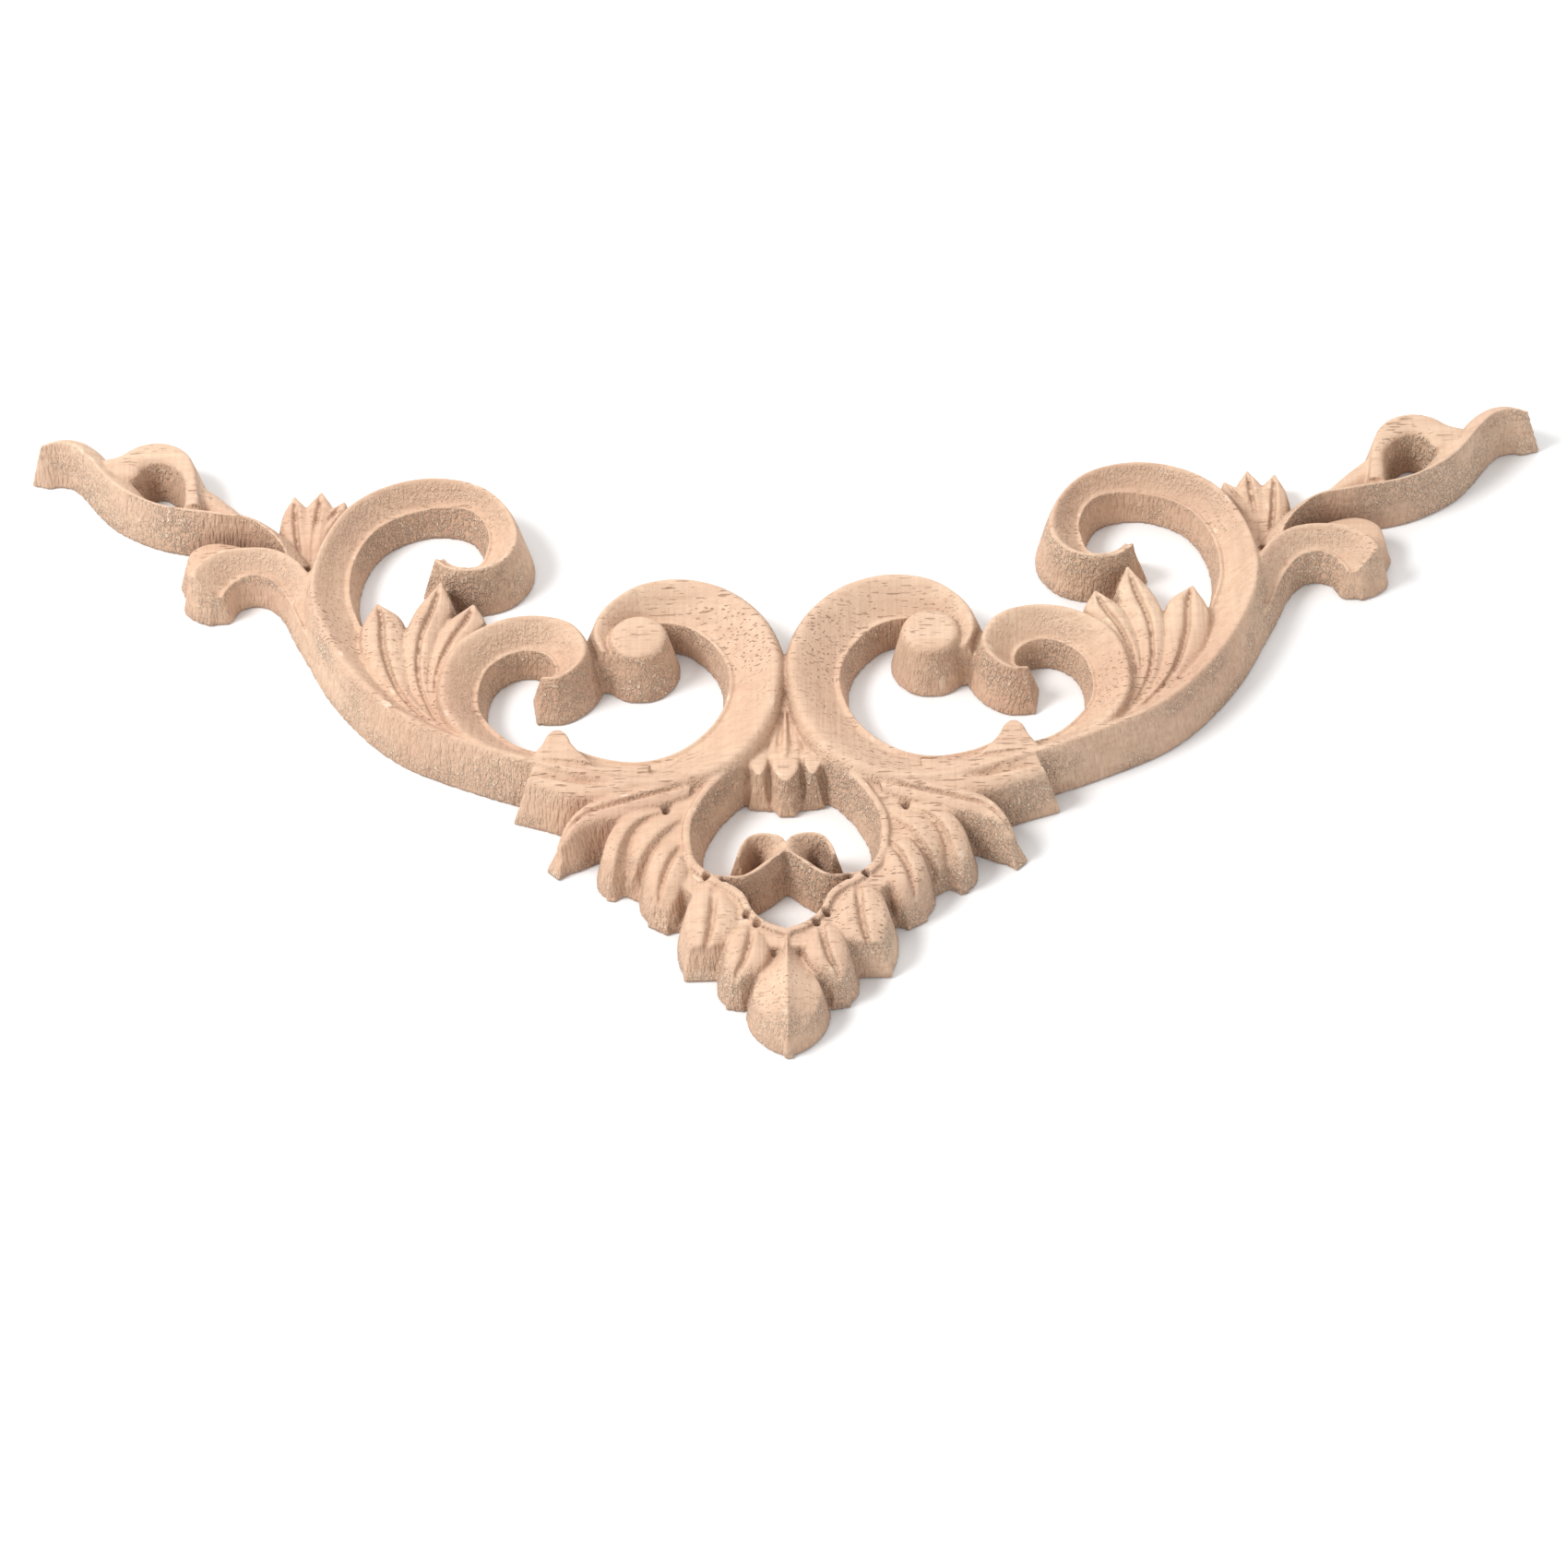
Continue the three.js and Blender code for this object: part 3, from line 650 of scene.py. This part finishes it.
def apply_modifiers(piece):
    """The mesh as its modifiers leave it takes the place of the piece's own mesh."""
    graph = bpy.context.evaluated_depsgraph_get()
    mesh = bpy.data.meshes.new_from_object(piece.evaluated_get(graph), depsgraph=graph)
    piece.modifiers.clear()
    old = piece.data
    piece.data = mesh
    bpy.data.meshes.remove(old)


def vertex_array(mesh):
    """The mesh's vertices as rows of X, Y and Z."""
    flat = np.empty(len(mesh.vertices) * 3, np.float32)
    mesh.vertices.foreach_get("co", flat)
    return flat.reshape(-1, 3).astype(float)


def set_vertices(mesh, points):
    """The rows of X, Y and Z become the mesh's vertices."""
    mesh.vertices.foreach_set("co", points.astype(np.float32).ravel())
    mesh.update()


def onlay_piece():
    """The lofts fused into one softened mesh, in the frame's place and inside the solid's box."""
    piece = bpy.data.objects.new("onlay_carving", joined_mesh("onlay_carving", carve()))
    bpy.context.scene.collection.objects.link(piece)
    remesh = piece.modifiers.new("fuse", "REMESH")
    remesh.mode = "VOXEL"
    remesh.voxel_size = VOXEL
    remesh.adaptivity = 0.0
    smooth = piece.modifiers.new("soften", "SMOOTH")
    smooth.factor = SOFTENING
    smooth.iterations = SOFTENING_TURNS
    apply_modifiers(piece)
    points = vertex_array(piece.data)
    points[:, 2] = np.clip(points[:, 2], 0.0, THICKNESS)
    points[points[:, 2] < FLAT_BELOW, 2] = 0.0
    set_vertices(piece.data, drilled(points))
    decimate = piece.modifiers.new("thin", "DECIMATE")
    triangles = sum(len(p.vertices) - 2 for p in piece.data.polygons)
    decimate.ratio = min(1.0, TARGET_TRIANGLES / triangles)
    apply_modifiers(piece)
    points = vertex_array(piece.data)
    points[:, 1] += CENTRE_SHIFT
    points[:, 2] = np.clip(points[:, 2], 0.0, THICKNESS)
    points *= MM
    low, high = [np.array(corner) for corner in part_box("corner_onlay")]
    points = np.clip(points, low, high)
    set_vertices(piece.data, points)
    piece.data.shade_smooth()
    return piece


def wood():
    """Raw pale wood with pores, faint growth colour, tool lines and cut fibres, plus a painted highlight on
    sharp edges and painted shade in creases and occluded hollows.
    """
    material = bpy.data.materials.new("raw_rubberwood")
    material.use_nodes = True
    tree = material.node_tree
    nodes = tree.nodes
    shader = nodes["Principled BSDF"]
    shader.inputs["Specular IOR Level"].default_value = WOOD_SPECULAR
    place = nodes.new("ShaderNodeTexCoord")

    def stretched(scale):
        node = nodes.new("ShaderNodeMapping")
        node.inputs["Scale"].default_value = [s / MM for s in scale]
        tree.links.new(place.outputs["Object"], node.inputs["Vector"])
        return node.outputs["Vector"]

    def noise_of(scale, detail, roughness, distortion):
        node = nodes.new("ShaderNodeTexNoise")
        node.inputs["Scale"].default_value = 1.0
        node.inputs["Detail"].default_value = detail
        node.inputs["Roughness"].default_value = roughness
        node.inputs["Distortion"].default_value = distortion
        tree.links.new(stretched(scale), node.inputs["Vector"])
        return node.outputs["Fac"]

    def remap(value, low, high, to_low=0.0, to_high=1.0):
        node = nodes.new("ShaderNodeMapRange")
        node.inputs["From Min"].default_value = low
        node.inputs["From Max"].default_value = high
        node.inputs["To Min"].default_value = to_low
        node.inputs["To Max"].default_value = to_high
        tree.links.new(value, node.inputs["Value"])
        return node.outputs["Result"]

    def maths(kind, a, b):
        node = nodes.new("ShaderNodeMath")
        node.operation = kind
        for slot, value in enumerate((a, b)):
            if isinstance(value, (int, float)):
                node.inputs[slot].default_value = value
            else:
                tree.links.new(value, node.inputs[slot])
        return node.outputs[0]

    def tint(factor, below, above):
        node = nodes.new("ShaderNodeMix")
        node.data_type = "RGBA"
        tree.links.new(factor, node.inputs["Factor"])
        for name, value in (("A", below), ("B", above)):
            slot = [s for s in node.inputs if s.name == name and s.type == "RGBA"][0]
            if isinstance(value, tuple):
                slot.default_value = value
            else:
                tree.links.new(value, slot)
        return [s for s in node.outputs if s.type == "RGBA"][0]

    def mask(name, value):
        return remap(value, *MASKS[name])

    def tinted(name, amount, colour):
        share, aim = TINTS[name]
        return tint(maths("MULTIPLY", amount, share), colour, aim)

    noises = {name: noise_of(*values) for name, values in NOISES.items()}
    shape = nodes.new("ShaderNodeNewGeometry")
    split = nodes.new("ShaderNodeSeparateXYZ")
    tree.links.new(shape.outputs["Normal"], split.inputs["Vector"])
    steep = mask("steep", maths("ABSOLUTE", split.outputs["Z"], 0.0))
    level = maths("SUBTRACT", 1.0, steep)
    # Ambient occlusion, used below as painted shade in the base colour.
    shelter = nodes.new("ShaderNodeAmbientOcclusion")
    shelter.samples = OCCLUSION_SHADE_SAMPLES
    shelter.inputs["Distance"].default_value = OCCLUSION_SHADE_REACH * MM

    clusters = remap(noises["clusters"], *MASKS["clusters"], LONE_PORES)
    pores = maths("MULTIPLY", mask("pores", noises["pores"]), clusters)
    pores = maths("MULTIPLY", pores, remap(steep, 0.0, 1.0, 1.0, WALL_PORES))
    fuzz = maths("MULTIPLY", steep, mask("fuzz_places", noises["fuzz_places"]))
    fuzz = maths("MULTIPLY", mask("flecks", noises["flecks"]), fuzz)
    amounts = {
        "patches": mask("patches", noises["patches"]),
        "grain": mask("grain", noises["grain"]),
        "rings": mask("rings", noises["rings"]),
        "pores": pores,
        "passes": maths("MULTIPLY", mask("passes", noises["passes"]), level),
        "lines": maths("MULTIPLY", mask("lines", noises["lines"]), steep),
        "fuzz": fuzz,
        # Painted light: a lighter line on sharp edges, partly rubbed wear, and painted shade in creases and
        # occluded hollows.
        "edge": mask("edge", shape.outputs["Pointiness"]),
        "crevice": mask("crevice", shape.outputs["Pointiness"]),
        "shelter": mask("shelter", shelter.outputs["AO"]),
    }
    colour = tint(mask("broad", noises["broad"]), DEEP_WOOD, PALE_WOOD)
    for name, amount in amounts.items():
        colour = tinted(name, amount, colour)
    tree.links.new(colour, shader.inputs["Base Color"])
    tree.links.new(remap(noises["grain"], *ROUGHNESS_READ, *ROUGHNESS), shader.inputs["Roughness"])

    reliefs = {
        "lines": maths("MULTIPLY", noises["lines"], steep),
        "fuzz": fuzz,
        "flecks": noises["flecks"],
        "passes": maths("MULTIPLY", noises["passes"], level),
        "grain": noises["grain"],
    }
    height = maths("MULTIPLY", pores, HEIGHTS["pores"])
    for name, relief in reliefs.items():
        height = maths("ADD", height, maths("MULTIPLY", relief, HEIGHTS[name]))
    bump = nodes.new("ShaderNodeBump")
    bump.inputs["Strength"].default_value = 1.0
    bump.inputs["Distance"].default_value = MM
    tree.links.new(height, bump.inputs["Height"])
    tree.links.new(bump.outputs["Normal"], shader.inputs["Normal"])
    return material


def floor():
    """A pale plane just below the onlay's back."""
    corners = [(x * FLOOR_REACH, y * FLOOR_REACH, 0.0) for x, y in ((-1, -1), (1, -1), (1, 1), (-1, 1))]
    mesh = bpy.data.meshes.new("floor")
    mesh.from_pydata(corners, [], [(0, 1, 2, 3)])
    piece = bpy.data.objects.new("floor", mesh)
    piece.location.z = -FLOOR_DROP
    bpy.context.scene.collection.objects.link(piece)
    material = bpy.data.materials.new("pale_floor")
    material.use_nodes = True
    shader = material.node_tree.nodes["Principled BSDF"]
    shader.inputs["Base Color"].default_value = (FLOOR_GREY, FLOOR_GREY, FLOOR_GREY, 1)
    shader.inputs["Roughness"].default_value = FLOOR_ROUGHNESS
    shader.inputs["Specular IOR Level"].default_value = 0.0
    mesh.materials.append(material)


def area_light(name, place, size, power):
    """A round light that faces the onlay's middle."""
    data = bpy.data.lights.new(name, "AREA")
    data.shape = "DISK"
    data.size = size
    data.energy = power
    light = bpy.data.objects.new(name, data)
    light.location = place
    light.rotation_euler = (Vector(LIGHT_AIM) - Vector(place)).to_track_quat("-Z", "Y").to_euler()
    bpy.context.scene.collection.objects.link(light)


def lights():
    """Soft studio light: a key and a fill light, and an even white world."""
    for name, values in LIGHTS.items():
        area_light(name, *values)
    world = bpy.data.worlds.new("studio")
    world.use_nodes = True
    background = world.node_tree.nodes["Background"]
    background.inputs["Color"].default_value = (1.0, 1.0, 1.0, 1)
    background.inputs["Strength"].default_value = STUDIO_STRENGTH
    bpy.context.scene.world = world
    bpy.context.scene.view_settings.view_transform = "Standard"


def camera():
    """The view of the photograph, with its whole square frame."""
    pitch, roll, yaw = CAMERA_PITCH, CAMERA_ROLL, CAMERA_YAW
    place = Vector((CAMERA_PLACE[0], CAMERA_PLACE[1] + CENTRE_SHIFT, CAMERA_PLACE[2])) * MM
    ahead = Vector((math.sin(yaw) * math.cos(pitch), math.cos(yaw) * math.cos(pitch), -math.sin(pitch)))
    right = Vector((math.cos(yaw), -math.sin(yaw), 0.0))
    up = right.cross(ahead)
    rolled_right = right * math.cos(roll) + up * math.sin(roll)
    rolled_up = up * math.cos(roll) - right * math.sin(roll)
    data = bpy.data.cameras.new("camera")
    data.sensor_width = SENSOR_WIDTH
    data.sensor_height = SENSOR_WIDTH
    data.lens = FOCAL_PX / PHOTO_PX * SENSOR_WIDTH
    data.clip_start = CLIP_START
    seen = bpy.data.objects.new("camera", data)
    turn = Matrix((rolled_right, rolled_up, -ahead)).transposed().to_4x4()
    seen.matrix_world = Matrix.Translation(place) @ turn
    bpy.context.scene.collection.objects.link(seen)
    bpy.context.scene.camera = seen


camera()
onlay = onlay_piece()
onlay.data.materials.clear()
onlay.data.materials.append(wood())
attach(onlay, "root")
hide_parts("corner_onlay")
floor()
lights()
